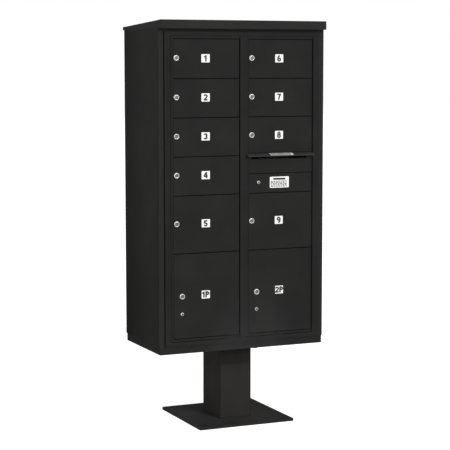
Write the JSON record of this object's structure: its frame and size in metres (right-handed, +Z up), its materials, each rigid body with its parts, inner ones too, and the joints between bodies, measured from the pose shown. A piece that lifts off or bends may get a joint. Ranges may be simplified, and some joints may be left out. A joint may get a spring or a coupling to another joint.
{
  "type": "cluster mailbox unit",
  "caption": "Pedestal-mounted cluster mailbox: two columns of locking compartments with parcel lockers, an outgoing slot under a hood, and hinged master doors.",
  "frame": {"origin": "centre of the base plate's underside, on the ground", "axes": "+Z up, +X to the right seen from the front, the doors face -Y"},
  "size_m": [0.8382, 0.5201, 1.8863],
  "materials": {
    "black_paint": "satin black powder coat with fine texture",
    "bare_aluminium": "mill finish sheet",
    "nickel": "nickel plated, lightly brushed",
    "zinc_steel": "zinc plated",
    "label_white": "white printed plate, satin",
    "label_print": "black printing ink, matt"
  },
  "bodies": {
    "cabinet": {"base_plate": "black_paint", "pedestal_column": "black_paint", "pedestal_bolts": "zinc_steel", "enclosure_wrap": "black_paint", "enclosure_bottom_pan": "black_paint", "roof_cap": "black_paint", "module_frame": "black_paint", "mullion": "black_paint", "module_wrap": "bare_aluminium", "module_end_plates": "bare_aluminium", "center_partition": "bare_aluminium", "shelves": "bare_aluminium", "master_hinge_fixed": "black_paint"},
    "master_left": {"master_frame_left": "black_paint", "master_hinge_left": "black_paint", "door_rod_left": "black_paint"},
    "master_right": {"master_frame_right": "black_paint", "master_hinge_right": "black_paint", "door_rod_right": "black_paint", "outgoing_plate": "black_paint", "master_lock_case": "zinc_steel"},
    "door_1": {"door_1": "black_paint", "lock_1": "nickel"},
    "plug_1": {"plug_1": "nickel"},
    "door_2": {"door_2": "black_paint", "lock_2": "nickel"},
    "plug_2": {"plug_2": "nickel"},
    "door_3": {"door_3": "black_paint", "lock_3": "nickel"},
    "plug_3": {"plug_3": "nickel"},
    "door_4": {"door_4": "black_paint", "lock_4": "nickel"},
    "plug_4": {"plug_4": "nickel"},
    "door_5": {"door_5": "black_paint", "lock_5": "nickel"},
    "plug_5": {"plug_5": "nickel"},
    "parcel_door_1": {"parcel_door_1": "black_paint", "parcel_locks_1": "nickel"},
    "parcel_plug_1": {"parcel_plug_1": "nickel"},
    "control_plug_1": {"control_plug_1": "nickel"},
    "door_6": {"door_6": "black_paint", "lock_6": "nickel"},
    "plug_6": {"plug_6": "nickel"},
    "door_7": {"door_7": "black_paint", "lock_7": "nickel"},
    "plug_7": {"plug_7": "nickel"},
    "door_8": {"door_8": "black_paint", "lock_8": "nickel"},
    "plug_8": {"plug_8": "nickel"},
    "outgoing_door": {"outgoing_door": "black_paint", "outgoing_lock": "nickel"},
    "outgoing_plug": {"outgoing_plug": "nickel"},
    "door_9": {"door_9": "black_paint", "lock_9": "nickel"},
    "plug_9": {"plug_9": "nickel"},
    "parcel_door_2": {"parcel_door_2": "black_paint", "parcel_locks_2": "nickel"},
    "parcel_plug_2": {"parcel_plug_2": "nickel"},
    "control_plug_2": {"control_plug_2": "nickel"},
    "master_bolt": {"master_lock_bolt": "zinc_steel"}
  },
  "joints": [
    {"name": "master_left_hinge", "type": "hinge", "parent": "cabinet", "child": "master_left", "pos_m": [-0.3613, -0.193, 1.1137], "axis": [0, 0, -1], "range_deg": [0, 110]},
    {"name": "master_right_hinge", "type": "hinge", "parent": "cabinet", "child": "master_right", "pos_m": [0.3613, -0.193, 1.1137], "axis": [0, 0, 1], "range_deg": [0, 90]},
    {"name": "door_1_hinge", "type": "hinge", "parent": "master_left", "child": "door_1", "pos_m": [-0.0238, -0.1835, 1.71115], "axis": [0, 0, 1], "range_deg": [0, 90]},
    {"name": "plug_1_turn", "type": "hinge", "parent": "door_1", "child": "plug_1", "pos_m": [-0.3332, -0.188, 1.71475], "axis": [0, 1, 0], "range_deg": [0, 90]},
    {"name": "door_2_hinge", "type": "hinge", "parent": "master_left", "child": "door_2", "pos_m": [-0.0238, -0.1835, 1.53195], "axis": [0, 0, 1], "range_deg": [0, 90]},
    {"name": "plug_2_turn", "type": "hinge", "parent": "door_2", "child": "plug_2", "pos_m": [-0.3332, -0.188, 1.53695], "axis": [0, 1, 0], "range_deg": [0, 90]},
    {"name": "door_3_hinge", "type": "hinge", "parent": "master_left", "child": "door_3", "pos_m": [-0.0238, -0.1835, 1.35415], "axis": [0, 0, 1], "range_deg": [0, 90]},
    {"name": "plug_3_turn", "type": "hinge", "parent": "door_3", "child": "plug_3", "pos_m": [-0.3332, -0.188, 1.35915], "axis": [0, 1, 0], "range_deg": [0, 90]},
    {"name": "door_4_hinge", "type": "hinge", "parent": "master_left", "child": "door_4", "pos_m": [-0.0238, -0.1835, 1.17635], "axis": [0, 0, 1], "range_deg": [0, 90]},
    {"name": "plug_4_turn", "type": "hinge", "parent": "door_4", "child": "plug_4", "pos_m": [-0.3332, -0.188, 1.18135], "axis": [0, 1, 0], "range_deg": [0, 90]},
    {"name": "door_5_hinge", "type": "hinge", "parent": "master_left", "child": "door_5", "pos_m": [-0.0238, -0.1835, 0.9541], "axis": [0, 0, 1], "range_deg": [0, 90]},
    {"name": "plug_5_turn", "type": "hinge", "parent": "door_5", "child": "plug_5", "pos_m": [-0.3332, -0.188, 0.9591], "axis": [0, 1, 0], "range_deg": [0, 90]},
    {"name": "parcel_door_1_hinge", "type": "hinge", "parent": "master_left", "child": "parcel_door_1", "pos_m": [-0.0238, -0.1835, 0.62335], "axis": [0, 0, 1], "range_deg": [0, 90]},
    {"name": "parcel_plug_1_turn", "type": "hinge", "parent": "parcel_door_1", "child": "parcel_plug_1", "pos_m": [-0.3072, -0.188, 0.62335], "axis": [0, 1, 0], "range_deg": [0, 90]},
    {"name": "control_plug_1_turn", "type": "hinge", "parent": "parcel_door_1", "child": "control_plug_1", "pos_m": [-0.3072, -0.188, 0.54135], "axis": [0, 1, 0], "range_deg": [0, 90]},
    {"name": "door_6_hinge", "type": "hinge", "parent": "master_right", "child": "door_6", "pos_m": [0.3531, -0.1835, 1.71115], "axis": [0, 0, 1], "range_deg": [0, 90]},
    {"name": "plug_6_turn", "type": "hinge", "parent": "door_6", "child": "plug_6", "pos_m": [0.0437, -0.188, 1.71475], "axis": [0, 1, 0], "range_deg": [0, 90]},
    {"name": "door_7_hinge", "type": "hinge", "parent": "master_right", "child": "door_7", "pos_m": [0.3531, -0.1835, 1.53195], "axis": [0, 0, 1], "range_deg": [0, 90]},
    {"name": "plug_7_turn", "type": "hinge", "parent": "door_7", "child": "plug_7", "pos_m": [0.0437, -0.188, 1.53695], "axis": [0, 1, 0], "range_deg": [0, 90]},
    {"name": "door_8_hinge", "type": "hinge", "parent": "master_right", "child": "door_8", "pos_m": [0.3531, -0.1835, 1.35415], "axis": [0, 0, 1], "range_deg": [0, 90]},
    {"name": "plug_8_turn", "type": "hinge", "parent": "door_8", "child": "plug_8", "pos_m": [0.0437, -0.188, 1.35915], "axis": [0, 1, 0], "range_deg": [0, 90]},
    {"name": "outgoing_door_hinge", "type": "hinge", "parent": "master_right", "child": "outgoing_door", "pos_m": [0.3531, -0.1835, 1.13335], "axis": [0, 0, 1], "range_deg": [0, 90]},
    {"name": "outgoing_plug_turn", "type": "hinge", "parent": "outgoing_door", "child": "outgoing_plug", "pos_m": [0.0791, -0.188, 1.13835], "axis": [0, 1, 0], "range_deg": [0, 90]},
    {"name": "door_9_hinge", "type": "hinge", "parent": "master_right", "child": "door_9", "pos_m": [0.3531, -0.1835, 0.9541], "axis": [0, 0, 1], "range_deg": [0, 90]},
    {"name": "plug_9_turn", "type": "hinge", "parent": "door_9", "child": "plug_9", "pos_m": [0.0437, -0.188, 0.9591], "axis": [0, 1, 0], "range_deg": [0, 90]},
    {"name": "parcel_door_2_hinge", "type": "hinge", "parent": "master_right", "child": "parcel_door_2", "pos_m": [0.3531, -0.1835, 0.62335], "axis": [0, 0, 1], "range_deg": [0, 90]},
    {"name": "parcel_plug_2_turn", "type": "hinge", "parent": "parcel_door_2", "child": "parcel_plug_2", "pos_m": [0.0697, -0.188, 0.62335], "axis": [0, 1, 0], "range_deg": [0, 90]},
    {"name": "control_plug_2_turn", "type": "hinge", "parent": "parcel_door_2", "child": "control_plug_2", "pos_m": [0.0697, -0.188, 0.54135], "axis": [0, 1, 0], "range_deg": [0, 90]},
    {"name": "master_bolt_slide", "type": "slide", "parent": "master_right", "child": "master_bolt", "axis": [-1, 0, 0], "range_m": [0, 0.009]}
  ]
}
